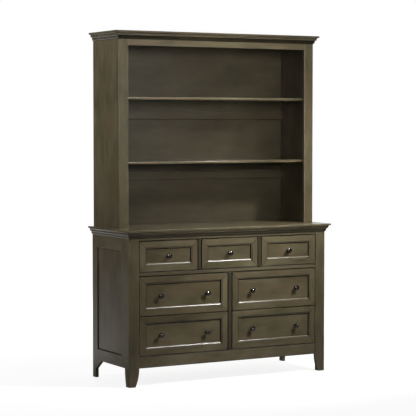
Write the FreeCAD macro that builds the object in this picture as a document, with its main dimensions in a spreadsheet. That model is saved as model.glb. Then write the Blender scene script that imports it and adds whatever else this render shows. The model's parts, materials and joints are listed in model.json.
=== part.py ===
"""Seven-drawer dresser with an open bookcase hutch standing on its top.

Millimetres, +Z up. The front faces -Y, the width runs along X, and the origin lies on the floor
under the middle of the whole outline. Three small drawers stand over two pairs of wide ones.
Every drawer rolls out towards -Y on a pair of side slides.
"""
import FreeCAD, Part
import Sketcher
import math
import os

DRIVING_SIZES = (
    # dresser case
    ("case_width", 1316, "outer width of the case over the legs"),
    ("case_depth", 478, "depth of the case from leg face to back panel"),
    ("foot_height", 105, "floor to the underside of the bottom rails"),
    ("bottom_rail_height", 66, "height of the front bottom rail"),
    ("lower_row_height", 228, "opening height of each row of wide drawers"),
    ("middle_rail_height", 22, "height of the rail under the small drawers"),
    ("upper_row_height", 179, "opening height of the row of small drawers"),
    ("top_rail_height", 43, "height of the front top rail, behind the moulding too"),
    ("frame_thickness", 20, "thickness of the front frame and the side frames"),
    ("frame_setback", 2, "step from the leg face back to the rails and drawer fronts"),
    ("centre_stile_width", 26, "width of the stile between the wide drawers"),
    ("mullion_width", 22, "width of each short stile between the small drawers"),
    # corner legs
    ("leg_width", 64, "front leg seen from the front, above the taper"),
    ("leg_depth", 58, "front leg seen from the side, above the taper"),
    ("foot_width", 40, "front foot at the floor, seen from the front"),
    ("foot_depth", 42, "front foot at the floor, seen from the side"),
    ("front_taper_radius", 245, "radius of the bowed taper seen from the front"),
    ("side_taper_radius", 500, "radius of the bowed taper seen from the side"),
    ("arris_radius", 2, "eased outer arris of the legs and of the hutch stiles"),
    ("rear_foot_depth", 38, "rear foot seen from the side"),
    ("rear_foot_straight", 53, "straight part of the rear foot above the floor"),
    ("bracket_reach", 110, "reach of the slanted bracket from the rear face"),
    # side frame and panel
    ("side_stile_width", 81, "front stile of the side frame, behind the leg's front board"),
    ("rear_stile_width", 63, "rear leg above the bracket, seen from the side"),
    ("side_top_rail_height", 101, "top rail of the side frame, behind the moulding too"),
    ("side_bottom_rail_height", 65, "bottom rail of the side frame"),
    ("side_recess", 8, "depth of the side panel behind the frame face"),
    ("panel_thickness", 6, "thin boards: side panels, backs and drawer bottoms"),
    ("panel_tongue", 7, "how far a panel enters its groove"),
    ("groove_play", 1, "free space at the bottom of a panel groove"),
    ("groove_side_play", 0.2, "free space on each face of a panel in its groove"),
    ("panel_raise", 3, "how far the side panel's field stands out"),
    ("panel_bevel", 9, "width of the bevel round that field"),
    ("rabbet_depth", 10, "step in the rear legs that takes the back panel"),
    # inner boards
    ("inner_board_thickness", 12, "dust panel and bottom board"),
    ("bottom_board_drop", 6, "step from the bottom rail's top down to the bottom board"),
    ("block_height", 60, "packing block behind an outer slide"),
    # table tops and mouldings
    ("top_nose", 10, "upright edge of a top board"),
    ("top_cove", 9, "height of the hollow under that edge"),
    ("top_overhang", 28, "reach of a top board past the case on three sides"),
    ("top_cove_step", 11, "how far the hollow runs in"),
    ("top_cove_radius", 8, "radius of the hollow"),
    ("moulding_reach", 16, "reach of the moulding under a top board"),
    ("moulding_height", 29, "height of that moulding"),
    ("moulding_nose", 7, "upper upright band of the moulding"),
    ("moulding_cove_height", 8, "height of each of its two hollows"),
    ("moulding_lower_reach", 7, "reach of the lower upright band"),
    ("moulding_toe", 1.5, "reach of the moulding's lower edge"),
    ("moulding_cove_radius", 9, "radius of the upper hollow"),
    ("moulding_toe_radius", 8, "radius of the lower hollow"),
    # drawer fronts
    ("front_gap", 3, "gap between a drawer front and what surrounds it"),
    ("front_frame_width", 37, "flat face of a drawer front's mitred frame"),
    ("front_bevel_width", 8, "width of the bevel that runs down to the panel"),
    ("front_quirk", 1.5, "small upright step at the bevel's outer edge"),
    ("front_recess", 9, "depth of the drawer front's panel behind its frame"),
    ("front_edge_ease", 1, "eased outer edge of a drawer front"),
    # drawer boxes
    ("upper_box_height", 118, "height of a small drawer's box"),
    ("lower_box_height", 165, "height of a wide drawer's box"),
    ("box_depth", 406, "length of a drawer box"),
    ("box_side", 12, "thickness of a drawer's sides and back"),
    ("box_front", 14, "thickness of the inner front that carries the drawer front"),
    ("box_lift", 14, "clearance from the opening's lower edge to the drawer box"),
    ("bottom_rise", 11, "lower edge of a drawer box up to its bottom panel"),
    ("bottom_groove", 6, "depth of the groove that holds a drawer bottom"),
    # slides
    ("slide_space", 13, "space between a drawer box and what its slide is fixed to"),
    ("slide_height", 45, "height of a slide's case rail"),
    ("slide_sheet", 1.5, "sheet thickness of the slides"),
    ("slide_lip", 11, "reach of the case rail's flanges"),
    ("slide_inner_lip", 8, "reach of the drawer rail's flanges"),
    ("slide_clearance", 0.35, "running clearance between the two rails"),
    ("slide_rise", 62, "lower edge of a drawer box up to the middle of its slide"),
    ("slide_setback", 4, "front end of a slide behind the front frame"),
    ("slide_end_gap", 2, "rear end of a slide before the rear of the drawer box"),
    # knobs
    ("knob_radius", 16, "radius of a knob's head"),
    ("knob_reach", 30, "height of a knob above the panel"),
    ("knob_neck_radius", 7, "radius of a knob's neck"),
    ("knob_neck_top", 16, "height of the neck, up to the head's underside"),
    ("knob_rim_band", 12.5, "upright band of the head's rim"),
    ("knob_face_radius", 14.5, "radius of the flat in the middle of the head"),
    ("knob_spacing", 304, "distance between the two knobs of a wide drawer"),
    # hutch
    ("hutch_height", 1127, "dresser top to the top of the crown"),
    ("hutch_inset", 3, "hutch side inside the face of the case side"),
    ("hutch_depth", 336, "depth of the hutch without its crown"),
    ("hutch_rear_gap", 12, "hutch back in front of the rear of the dresser"),
    ("hutch_side", 19, "thickness of the hutch sides"),
    ("hutch_stile_width", 60, "width of the hutch's front stiles"),
    ("hutch_rail_height", 64, "height of the front top rail, behind the crown too"),
    ("hutch_rabbet", 10, "step in the hutch sides that takes the back"),
    ("back_rail_height", 47, "height of each rail across the hutch back"),
    ("lower_back_rail_base", 265, "dresser top to the lower edge of the lower rail"),
    ("upper_back_rail_base", 625, "dresser top to the lower edge of the upper rail"),
    ("back_rail_thickness", 20, "thickness of those rails"),
    ("shelf_thickness", 16, "thickness of a shelf"),
    ("shelf_edge_radius", 5, "rounding of a shelf's front edge"),
    ("shelf_side_gap", 1.5, "clearance between a shelf and each hutch side"),
    ("shelf_front_gap", 3, "shelf edge behind the front stiles"),
    ("shelf_rear_gap", 3, "clearance between a shelf and the back rail"),
    ("lower_shelf_base", 366, "dresser top to the underside of the lower shelf"),
    ("upper_shelf_base", 737, "dresser top to the underside of the upper shelf"),
    ("pin_radius", 3, "radius of a shelf pin"),
    ("pin_depth", 10, "part of a shelf pin inside the side, and outside it"),
    ("pin_clearance", 0.1, "radial clearance of a pin in its hole"),
    ("pin_inset", 40, "shelf pin from the shelf's front or rear edge"),
    ("tenon_thickness", 8, "thickness of a loose tenon between dresser top and hutch"),
    ("tenon_width", 30, "width of a loose tenon, along the hutch side"),
    ("tenon_depth", 11, "part of a loose tenon in each of the two pieces"),
    ("tenon_inset", 60, "middle of a tenon from the hutch side's front or rear edge"),
    # shared
    ("cut_overrun", 5, "how far every cut runs past the material"),
)
QUARTER_TURN = 90.0
FULL_TURN = 360.0
SKETCH_POINTS = {"start": 1, "end": 2, "centre": 3}

doc = FreeCAD.newDocument("Dresser")
sheet = doc.addObject("Spreadsheet::Sheet", "Sizes")


class Length:
    """A length in millimetres together with the expression that drives it."""

    def __init__(self, value, text):
        self.value = float(value)
        self.text = text

    def __add__(self, other):
        return Length(self.value + other.value, f"({self.text} + {other.text})")

    def __sub__(self, other):
        return Length(self.value - other.value, f"({self.text} - {other.text})")

    def __mul__(self, factor):
        return Length(self.value * factor, f"({self.text} * {factor})")

    def __truediv__(self, factor):
        return Length(self.value / factor, f"({self.text} / {factor})")

    def __neg__(self):
        return Length(-self.value, f"(-1 * {self.text})")


ZERO = Length(0, "0")


def fill_sheet():
    """Write the driving sizes into the sheet and return them by name."""
    sizes = {}
    for row, (name, value, meaning) in enumerate(DRIVING_SIZES, start=1):
        sheet.set(f"A{row}", meaning)
        sheet.set(f"B{row}", str(value))
        sheet.setAlias(f"B{row}", name)
        sizes[name] = Length(value, f"Sizes.{name}")
    doc.recompute()
    return sizes


size = fill_sheet()
pockets = []
sub_parts = []


# Levels and planes that several pieces share
side_thickness = size["frame_thickness"]
half_case = size["case_width"] / 2
front_face = -(size["case_depth"] - size["top_overhang"]) / 2
rear_face = front_face + size["case_depth"]
frame_face = front_face + size["frame_setback"]
frame_back = frame_face + size["frame_thickness"]
frame_back_of_leg = front_face + size["frame_thickness"]
post_back = front_face + size["foot_depth"]
bottom_rail_top = size["foot_height"] + size["bottom_rail_height"]
lower_rows_top = bottom_rail_top + size["lower_row_height"] * 2
upper_row_base = lower_rows_top + size["middle_rail_height"]
upper_row_top = upper_row_base + size["upper_row_height"]
top_thickness = size["top_nose"] + size["top_cove"]
case_height = upper_row_top + size["top_rail_height"]
dresser_height = case_height + top_thickness
inner_half_case = half_case - side_thickness
opening_half = half_case - size["leg_width"]
upper_opening = (opening_half * 2 - size["mullion_width"] * 2) / 3
lower_opening = opening_half - size["centre_stile_width"] / 2
dust_panel_base = lower_rows_top + (size["middle_rail_height"] - size["inner_board_thickness"]) / 2
dust_panel_top = dust_panel_base + size["inner_board_thickness"]
bottom_board_top = bottom_rail_top - size["bottom_board_drop"]
bottom_board_base = bottom_board_top - size["inner_board_thickness"]
back_face = rear_face - size["panel_thickness"]
recess_front = frame_back_of_leg + size["side_stile_width"]
recess_rear = rear_face - size["rear_stile_width"]
recess_base = size["foot_height"] + size["side_bottom_rail_height"]
recess_top = case_height - size["side_top_rail_height"]
groove_width = size["panel_thickness"] + size["groove_side_play"] * 2
groove_depth = size["panel_tongue"] + size["groove_play"]
slide_front = frame_back + size["slide_setback"]
slide_length = size["box_depth"] - size["slide_setback"] - size["slide_end_gap"]

half_hutch = half_case - size["hutch_inset"]
inner_half_hutch = half_hutch - size["hutch_side"]
hutch_rear = rear_face - size["hutch_rear_gap"]
hutch_front = hutch_rear - size["hutch_depth"]
hutch_frame_back = hutch_front + size["frame_thickness"]
hutch_back_face = hutch_rear - size["panel_thickness"]
hutch_side_height = size["hutch_height"] - top_thickness
crown_base = dresser_height + hutch_side_height
shelf_front = hutch_frame_back + size["shelf_front_gap"]
shelf_rear = hutch_back_face - size["back_rail_thickness"] - size["shelf_rear_gap"]


# Building blocks

def drive(feature, path, length):
    """Bind one property of a feature to the sheet."""
    feature.setExpression(path, length.text)


def place(feature, x, y, z, rotation=None):
    """Put a feature at driven coordinates."""
    if rotation is not None:
        feature.Placement = FreeCAD.Placement(FreeCAD.Vector(), rotation)
    for axis, length in (("x", x), ("y", y), ("z", z)):
        drive(feature, f"Placement.Base.{axis}", length)


def keep(feature, label):
    """Mark a feature as a finished sub-part that gets a file of its own."""
    feature.Label = label
    sub_parts.append(feature)
    return feature


def group(label, members):
    """Join separate solids that belong to one sub-part."""
    compound = doc.addObject("Part::Compound", label.title().replace("_", ""))
    compound.Links = members
    return keep(compound, label)


def board(name, low, high):
    """A plain board between two driven corners."""
    box = doc.addObject("Part::Box", name)
    for path, low_end, high_end in zip(("Length", "Width", "Height"), low, high):
        drive(box, path, high_end - low_end)
    place(box, *low)
    return box


def new_body(name):
    """An empty body."""
    return doc.addObject("PartDesign::Body", name)


def new_sketch(body, plane, lift=None):
    """A sketch on one of the body's own planes, lifted along its normal if asked."""
    support = [item for item in body.Origin.OriginFeatures if item.Role == plane][0]
    sketch = body.newObject("Sketcher::SketchObject", f"{body.Name}{plane[:2]}")
    sketch.AttachmentSupport = [(support, "")]
    sketch.MapMode = "FlatFace"
    if lift is not None:
        drive(sketch, "AttachmentOffset.Base.z", lift)
    return sketch


def arc_between(start, end, radius, turn):
    """A counter-clockwise arc between two points; turn +1 bulges to the right of start-end."""
    middle = (start + end) * 0.5
    along = end - start
    to_left = FreeCAD.Vector(-along.y, along.x, 0).normalize()
    centre = middle + to_left * turn * math.sqrt(radius ** 2 - (along.Length / 2) ** 2)
    first, last = (start, end) if turn > 0 else (end, start)
    first_angle = math.atan2(first.y - centre.y, first.x - centre.x)
    last_angle = math.atan2(last.y - centre.y, last.x - centre.x)
    if last_angle < first_angle:
        last_angle += 2 * math.pi
    circle = Part.Circle(centre, FreeCAD.Vector(0, 0, 1), radius)
    return Part.ArcOfCircle(circle, first_angle, last_angle)


def outline(sketch, points):
    """Draw a closed outline through driven points.

    A point is (x, y), or (x, y, radius, turn) where the edge that leaves it is an arc.
    """
    count = len(points)
    corners = [FreeCAD.Vector(point[0].value, point[1].value, 0) for point in points]
    edges = []
    start_ends = []
    for index, point in enumerate(points):
        start = corners[index]
        end = corners[(index + 1) % count]
        if len(point) == 4:
            edges.append(arc_between(start, end, point[2].value, point[3]))
            start_ends.append("start" if point[3] > 0 else "end")
        else:
            edges.append(Part.LineSegment(start, end))
            start_ends.append("start")
    first_edge = sketch.GeometryCount
    sketch.addGeometry(edges, False)
    for index, point in enumerate(points):
        edge = first_edge + index
        following = first_edge + (index + 1) % count
        far_end = SKETCH_POINTS["end" if start_ends[index] == "start" else "start"]
        next_start = SKETCH_POINTS[start_ends[(index + 1) % count]]
        sketch.addConstraint(Sketcher.Constraint("Coincident", edge, far_end, following, next_start))
    for index, point in enumerate(points):
        edge = first_edge + index
        corner = SKETCH_POINTS[start_ends[index]]
        for kind, length in (("DistanceX", point[0]), ("DistanceY", point[1])):
            constraint = Sketcher.Constraint(kind, -1, 1, edge, corner, length.value)
            number = sketch.addConstraint(constraint)
            drive(sketch, f"Constraints[{number}]", length)
        if len(point) == 4:
            number = sketch.addConstraint(Sketcher.Constraint("Radius", edge, point[2].value))
            drive(sketch, f"Constraints[{number}]", point[2])


def circle(sketch, x, y, radius):
    """Draw a driven circle."""
    centre = FreeCAD.Vector(x.value, y.value, 0)
    edge = sketch.addGeometry(Part.Circle(centre, FreeCAD.Vector(0, 0, 1), radius.value), False)
    for kind, length in (("DistanceX", x), ("DistanceY", y)):
        number = sketch.addConstraint(
            Sketcher.Constraint(kind, -1, 1, edge, SKETCH_POINTS["centre"], length.value))
        drive(sketch, f"Constraints[{number}]", length)
    number = sketch.addConstraint(Sketcher.Constraint("Radius", edge, radius.value))
    drive(sketch, f"Constraints[{number}]", radius)


def pad(body, sketch, length, reverse=False):
    """Grow a sketch into a solid."""
    feature = body.newObject("PartDesign::Pad", f"{sketch.Name}Pad")
    feature.Profile = sketch
    feature.Reversed = reverse
    drive(feature, "Length", length)
    return feature


def pocket(body, sketch, length, reverse=False):
    """Cut a sketch out of a solid to a given depth."""
    feature = body.newObject("PartDesign::Pocket", f"{sketch.Name}Pocket")
    feature.Profile = sketch
    feature.Reversed = reverse
    drive(feature, "Length", length)
    pockets.append(feature)
    return feature


def rectangle(low_x, low_y, high_x, high_y):
    """The four corners of a driven rectangle."""
    return [(low_x, low_y), (high_x, low_y), (high_x, high_y), (low_x, high_y)]


def slab(name, points, length, plane="XY_Plane", reverse=False, lift=None):
    """A body made of one outline."""
    body = new_body(name)
    sketch = new_sketch(body, plane, lift)
    outline(sketch, points)
    pad(body, sketch, length, reverse)
    return body


def mitred_bar(name, section, length, width, mitres):
    """A bar along local X with its section in the local YZ plane, mitred at the named ends.

    Local Z runs from the outer edge inwards, so the bar is longest at Z = 0.
    """
    body = slab(name, section, length, "YZ_Plane")
    overrun = size["cut_overrun"]
    far = width + overrun
    for end in mitres:
        sketch = new_sketch(body, "XZ_Plane", overrun)
        if end == "start":
            outline(sketch, [(-overrun, -overrun), (far, far), (-overrun, far)])
        else:
            outline(sketch, [(length + overrun, -overrun), (length + overrun, far), (length - far, far)])
        depth = max((point[0] for point in section), key=lambda item: item.value)
        pocket(body, sketch, depth + overrun * 2)
    return body


def axes_rotation(x_axis, y_axis, z_axis):
    """The rotation that turns the local axes to the three given ones."""
    return FreeCAD.Rotation(FreeCAD.Vector(x_axis), FreeCAD.Vector(y_axis), FreeCAD.Vector(z_axis))


# Corner legs

def eased_board(width, depth, side):
    """Section of an upright board with its outer front arris rounded off; the corner is at 0, 0."""
    ease = size["arris_radius"]
    far = width * -side
    return [(ease * -side, ZERO), (far, ZERO), (far, depth), (ZERO, depth), (ZERO, ease, ease, -side)]


def front_leg(side, label):
    """A front leg, a board with a post behind its foot; side is -1 on the left and +1 on the right."""
    foot = size["foot_width"] * -side
    thickness = side_thickness * -side
    overrun = size["cut_overrun"]
    body = slab(label.title().replace("_", ""),
                eased_board(size["leg_width"], size["frame_thickness"], side), case_height)
    post = new_sketch(body, "XY_Plane")
    outline(post, rectangle(thickness, size["frame_thickness"], foot, size["foot_depth"]))
    pad(body, post, case_height)
    width = size["leg_width"] * -side
    past = width - overrun * side
    taper = new_sketch(body, "XZ_Plane", overrun)
    outline(taper, [
        (foot, ZERO, size["front_taper_radius"], -side), (width, size["foot_height"]),
        (past, size["foot_height"]), (past, -overrun), (foot, -overrun),
    ])
    pocket(body, taper, size["frame_thickness"] + overrun * 2)
    place(body, half_case * side, front_face, ZERO)
    return keep(body, label)


def rear_leg(side, label):
    """A rear leg: one board with a straight foot and a slanted bracket in front of it."""
    depth = size["case_depth"]
    stile_front = depth - size["rear_stile_width"]
    thickness = side_thickness * -side
    overrun = size["cut_overrun"]
    body = slab(label.title().replace("_", ""), [
        (depth, ZERO), (depth, case_height), (stile_front, case_height),
        (stile_front, size["foot_height"]), (depth - size["bracket_reach"], size["foot_height"]),
        (depth - size["rear_foot_depth"], size["rear_foot_straight"]),
        (depth - size["rear_foot_depth"], ZERO),
    ], side_thickness, "YZ_Plane", reverse=side > 0)
    cut_panel_groove(body, side, stile_front, 1)
    rabbet = new_sketch(body, "XY_Plane", size["foot_height"])
    rabbet_edge = thickness + size["rabbet_depth"] * side
    outline(rabbet, rectangle(rabbet_edge, depth - size["panel_thickness"],
                              thickness - overrun * side, depth + overrun))
    pocket(body, rabbet, case_height, reverse=True)
    place(body, half_case * side, front_face, ZERO)
    return keep(body, label)


# Side frames and their raised panels

def groove_edges(side):
    """The two faces of a panel groove, measured from the outer face of the side frame."""
    near = size["side_recess"] * -side
    return near, near - groove_width * side


def cut_panel_groove(body, side, edge, inward):
    """Cut the panel's groove along an upright edge; inward is the direction into the wood."""
    near, far = groove_edges(side)
    slot = new_sketch(body, "XY_Plane", recess_base - groove_depth)
    outline(slot, rectangle(near, edge - size["cut_overrun"] * inward, far, edge + groove_depth * inward))
    pocket(body, slot, recess_top - recess_base + groove_depth * 2, reverse=True)


def side_stile(side, name):
    """The front stile of a side frame, which runs down to the floor behind the leg's front board."""
    stile_front = size["frame_thickness"]
    stile_rear = stile_front + size["side_stile_width"]
    body = slab(name, [
        (stile_front, ZERO), (size["foot_depth"], ZERO, size["side_taper_radius"], 1),
        (size["leg_depth"], size["foot_height"]), (stile_rear, size["foot_height"]),
        (stile_rear, case_height), (stile_front, case_height),
    ], side_thickness, "YZ_Plane", reverse=side > 0)
    cut_panel_groove(body, side, stile_rear, -1)
    place(body, half_case * side, front_face, ZERO)
    return body


def rail_section(height, side):
    """Section of a side rail: outer face at X = 0, grooved along its edge at Y = height."""
    thickness = side_thickness * -side
    near, far = groove_edges(side)
    floor = height - groove_depth
    return [
        (ZERO, ZERO), (thickness, ZERO), (thickness, height), (far, height),
        (far, floor), (near, floor), (near, height), (ZERO, height),
    ]


def upside_down(points, height):
    """The same section with its groove at the bottom."""
    return [(point[0], height - point[1]) for point in points]


def side_frame(side, label):
    """The stile and the two rails that hold a side panel."""
    title = label.title().replace("_", "")
    rail_length = recess_rear - recess_front
    lower = slab(f"{title}LowerRail", rail_section(size["side_bottom_rail_height"], side),
                 rail_length, "XZ_Plane", reverse=True)
    place(lower, half_case * side, recess_front, size["foot_height"])
    height = size["side_top_rail_height"]
    upper = slab(f"{title}UpperRail", upside_down(rail_section(height, side), height),
                 rail_length, "XZ_Plane", reverse=True)
    place(upper, half_case * side, recess_front, recess_top)
    return group(label, [side_stile(side, f"{title}Stile"), lower, upper])


def side_panel(side, label):
    """A raised panel: its thin edges lie in the frame's grooves, and its field stands out."""
    tongue = size["panel_tongue"]
    play = size["groove_side_play"]
    bevel = size["panel_bevel"]
    face = (size["side_recess"] + play) * -side
    body = new_body(label.title().replace("_", ""))
    back = new_sketch(body, "YZ_Plane", face - size["panel_thickness"] * side)
    outline(back, rectangle(recess_front - tongue, recess_base - tongue,
                            recess_rear + tongue, recess_top + tongue))
    pad(body, back, size["panel_thickness"], reverse=side < 0)
    foot = new_sketch(body, "YZ_Plane", face)
    outline(foot, rectangle(recess_front + play, recess_base + play, recess_rear - play, recess_top - play))
    field = new_sketch(body, "YZ_Plane", face + size["panel_raise"] * side)
    outline(field, rectangle(recess_front + bevel, recess_base + bevel,
                             recess_rear - bevel, recess_top - bevel))
    raised = body.newObject("PartDesign::AdditiveLoft", f"{body.Name}Raised")
    raised.Profile = foot
    raised.Sections = [field]
    raised.Ruled = True
    place(body, half_case * side, ZERO, ZERO)
    return keep(body, label)


# Front frame

def front_rail(label, base, height):
    """A rail between the two front legs."""
    name = label.title().replace("_", "")
    return keep(board(name, (-opening_half, frame_face, base),
                      (opening_half, frame_back, base + height)), label)


def mullion_left_edge(number):
    """Left edge of a mullion between the small drawers, counted from 1."""
    return -opening_half + upper_opening * number + size["mullion_width"] * (number - 1)


def front_frame():
    """Rails and stiles round the drawer openings."""
    front_rail("front_bottom_rail", size["foot_height"], size["bottom_rail_height"])
    front_rail("front_middle_rail", lower_rows_top, size["middle_rail_height"])
    front_rail("front_top_rail", upper_row_top, size["top_rail_height"])
    half_stile = size["centre_stile_width"] / 2
    stiles = [board("CentreStile", (-half_stile, frame_face, bottom_rail_top),
                    (half_stile, frame_back, lower_rows_top))]
    for number in (1, 2):
        left = mullion_left_edge(number)
        stiles.append(board(f"Mullion{number}", (left, frame_face, upper_row_base),
                            (left + size["mullion_width"], frame_back, upper_row_top)))
    group("front_stiles", stiles)


# Inside of the case

def notched_board(label, base):
    """A board across the inside of the case, notched round the two leg posts."""
    inner = inner_half_case
    neck = half_case - size["foot_width"]
    body = slab(label.title().replace("_", ""), [
        (-neck, frame_back), (neck, frame_back), (neck, post_back), (inner, post_back),
        (inner, back_face), (-inner, back_face), (-inner, post_back), (-neck, post_back),
    ], size["inner_board_thickness"])
    place(body, ZERO, ZERO, base)
    return keep(body, label)


def case_inside():
    """Dust panel, bottom board, partitions and back panel."""
    notched_board("dust_panel", dust_panel_base)
    notched_board("bottom_board", bottom_board_base)
    half_stile = size["centre_stile_width"] / 2
    walls = [board("CentrePartition", (-half_stile, frame_back, bottom_board_top),
                   (half_stile, back_face, dust_panel_base))]
    for number in (1, 2):
        left = mullion_left_edge(number)
        walls.append(board(f"UpperPartition{number}", (left, frame_back, dust_panel_top),
                           (left + size["mullion_width"], back_face, case_height)))
    group("partitions", walls)
    back_half = inner_half_case + size["rabbet_depth"]
    keep(board("DresserBack", (-back_half, back_face, size["foot_height"]),
               (back_half, rear_face, case_height)), "dresser_back")


# Top boards and the mouldings under them

def moulding_section():
    """Section of the moulding: Y runs down from the top board, Z inwards from the outer edge."""
    reach = size["moulding_reach"]
    nose = size["moulding_nose"]
    hollow = nose + size["moulding_cove_height"]
    height = size["moulding_height"]
    lower_edge = height - size["moulding_cove_height"] + size["moulding_toe"]
    lower_inset = reach - size["moulding_lower_reach"]
    toe_inset = reach - size["moulding_toe"]
    return [
        (ZERO, ZERO), (ZERO, reach), (height, reach), (height, toe_inset, size["moulding_toe_radius"], 1),
        (lower_edge, lower_inset), (hollow, lower_inset, size["moulding_cove_radius"], 1), (nose, ZERO),
    ]


def moulding(label, width, front, rear, top):
    """Three mitred bars that run round the front and both sides of a case."""
    title = label.title().replace("_", "")
    reach = size["moulding_reach"]
    section = moulding_section()
    side_length = rear - front + reach
    front_bar = mitred_bar(f"{title}Front", section, width + reach * 2, reach, ("start", "end"))
    place(front_bar, -width / 2 - reach, front - reach, top,
          axes_rotation((1, 0, 0), (0, 0, -1), (0, 1, 0)))
    left_bar = mitred_bar(f"{title}Left", section, side_length, reach, ("end",))
    place(left_bar, -width / 2 - reach, rear, top, axes_rotation((0, -1, 0), (0, 0, -1), (1, 0, 0)))
    right_bar = mitred_bar(f"{title}Right", section, side_length, reach, ("start",))
    place(right_bar, width / 2 + reach, front - reach, top,
          axes_rotation((0, 1, 0), (0, 0, -1), (-1, 0, 0)))
    return group(label, [front_bar, left_bar, right_bar])


def level_edges(shape, height, low_x, high_x, front):
    """Names of the straight edges at one height that lie on three sides of a rectangle."""
    found = []
    for number, edge in enumerate(shape.Edges, start=1):
        box = edge.BoundBox
        level = math.isclose(box.ZMin, height) and math.isclose(box.ZMax, height)
        on_left = math.isclose(box.XMin, low_x) and math.isclose(box.XMax, low_x)
        on_right = math.isclose(box.XMin, high_x) and math.isclose(box.XMax, high_x)
        on_front = math.isclose(box.YMin, front) and math.isclose(box.YMax, front)
        if level and (on_left or on_right or on_front):
            found.append(f"Edge{number}")
    return found


def top_board(label, width, front, rear, base):
    """A top board with an upright edge and a hollow under it on the front and both sides."""
    reach = size["top_overhang"]
    lower_reach = reach - size["top_cove_step"]
    body = new_body(label.title().replace("_", ""))
    lower = new_sketch(body, "XY_Plane")
    half = width / 2 + lower_reach
    outline(lower, rectangle(-half, front - lower_reach, half, rear))
    pad(body, lower, size["top_cove"])
    upper = new_sketch(body, "XY_Plane", size["top_cove"])
    outer_half = width / 2 + reach
    outline(upper, rectangle(-outer_half, front - reach, outer_half, rear))
    nose = pad(body, upper, size["top_nose"])
    doc.recompute()
    hollow = body.newObject("PartDesign::Fillet", f"{body.Name}Hollow")
    names = level_edges(nose.Shape, size["top_cove"].value, -half.value, half.value,
                        (front - lower_reach).value)
    hollow.Base = (nose, names)
    drive(hollow, "Radius", size["top_cove_radius"])
    place(body, ZERO, ZERO, base)
    return keep(body, label)


def tenon_corners():
    """Low and high corners in plan of the four loose tenons between dresser top and hutch."""
    middle = half_hutch - size["hutch_side"] / 2
    half_thickness = size["tenon_thickness"] / 2
    half_width = size["tenon_width"] / 2
    for side in (-1, 1):
        x = middle * side
        for y in (hutch_front + size["tenon_inset"], hutch_rear - size["tenon_inset"]):
            yield x - half_thickness, y - half_width, x + half_thickness, y + half_width


def dresser_top():
    """The dresser's top board with four mortises under the hutch."""
    body = top_board("dresser_top", size["case_width"], front_face, rear_face, case_height)
    mortises = new_sketch(body, "XY_Plane", top_thickness)
    for corners in tenon_corners():
        outline(mortises, rectangle(*corners))
    pocket(body, mortises, size["tenon_depth"])
    return body


# Drawers

def opening_left(row, column):
    """Left edge of a drawer opening."""
    if row == "upper":
        return -opening_half + (upper_opening + size["mullion_width"]) * column
    return -opening_half + (lower_opening + size["centre_stile_width"]) * column


DRAWERS = (
    ("upper_left", "upper", 0, 1),
    ("upper_middle", "upper", 1, 1),
    ("upper_right", "upper", 2, 1),
    ("middle_left", "middle", 0, 2),
    ("middle_right", "middle", 1, 2),
    ("lower_left", "lower", 0, 2),
    ("lower_right", "lower", 1, 2),
)


class DrawerSpace:
    """The opening of one drawer and the sizes that follow from it."""

    def __init__(self, row, column):
        upper = row == "upper"
        self.left = opening_left(row, column)
        self.width = upper_opening if upper else lower_opening
        self.right = self.left + self.width
        self.base = {"upper": upper_row_base, "middle": bottom_rail_top + size["lower_row_height"],
                     "lower": bottom_rail_top}[row]
        self.height = size["upper_row_height"] if upper else size["lower_row_height"]
        self.box_height = size["upper_box_height"] if upper else size["lower_box_height"]
        gap = size["front_gap"]
        self.lower_gap = gap / 2 if row == "middle" else gap
        self.upper_gap = gap / 2 if row == "lower" else gap
        self.front_width = self.width - gap * 2
        self.front_height = self.height - self.lower_gap - self.upper_gap
        self.front_left = self.left + gap
        self.front_base = self.base + self.lower_gap
        self.box_left = self.left + size["slide_space"]
        self.box_right = self.right - size["slide_space"]
        self.box_base = self.base + size["box_lift"]
        self.box_rear = frame_back + size["box_depth"]
        self.slide_middle = self.box_base + size["slide_rise"]
        self.middle_x = self.left + self.width / 2
        self.front_middle = self.front_base + self.front_height / 2


def front_section():
    """Section of a drawer front's frame: Y runs back from the face, Z inwards from the edge."""
    ease = size["front_edge_ease"]
    flat = size["front_frame_width"]
    inner = flat + size["front_bevel_width"]
    recess = size["front_recess"]
    slot_back = recess + groove_width
    slot_floor = inner - groove_depth
    thickness = size["frame_thickness"]
    return [
        (ease, ZERO), (thickness, ZERO), (thickness, inner), (slot_back, inner), (slot_back, slot_floor),
        (recess, slot_floor), (recess, inner), (size["front_quirk"], flat), (ZERO, flat), (ZERO, ease),
    ]


def drawer_front(space, place_name):
    """Four mitred frame members round a flat panel."""
    title = f"DrawerFront{place_name.title().replace('_', '')}"
    section = front_section()
    inner = size["front_frame_width"] + size["front_bevel_width"]
    both = ("start", "end")
    right = space.front_left + space.front_width
    top = space.front_base + space.front_height
    lower = mitred_bar(f"{title}Lower", section, space.front_width, inner, both)
    place(lower, space.front_left, frame_face, space.front_base)
    upper = mitred_bar(f"{title}Upper", section, space.front_width, inner, both)
    place(upper, right, frame_face, top, axes_rotation((-1, 0, 0), (0, 1, 0), (0, 0, -1)))
    left_stile = mitred_bar(f"{title}Left", section, space.front_height, inner, both)
    place(left_stile, space.front_left, frame_face, top, axes_rotation((0, 0, -1), (0, 1, 0), (1, 0, 0)))
    right_stile = mitred_bar(f"{title}Right", section, space.front_height, inner, both)
    place(right_stile, right, frame_face, space.front_base,
          axes_rotation((0, 0, 1), (0, 1, 0), (-1, 0, 0)))
    edge = inner - size["panel_tongue"]
    panel_front = frame_face + size["front_recess"] + size["groove_side_play"]
    panel = board(f"{title}Panel",
                  (space.front_left + edge, panel_front, space.front_base + edge),
                  (right - edge, panel_front + size["panel_thickness"], top - edge))
    group(f"drawer_front_{place_name}", [lower, upper, left_stile, right_stile, panel])


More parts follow.
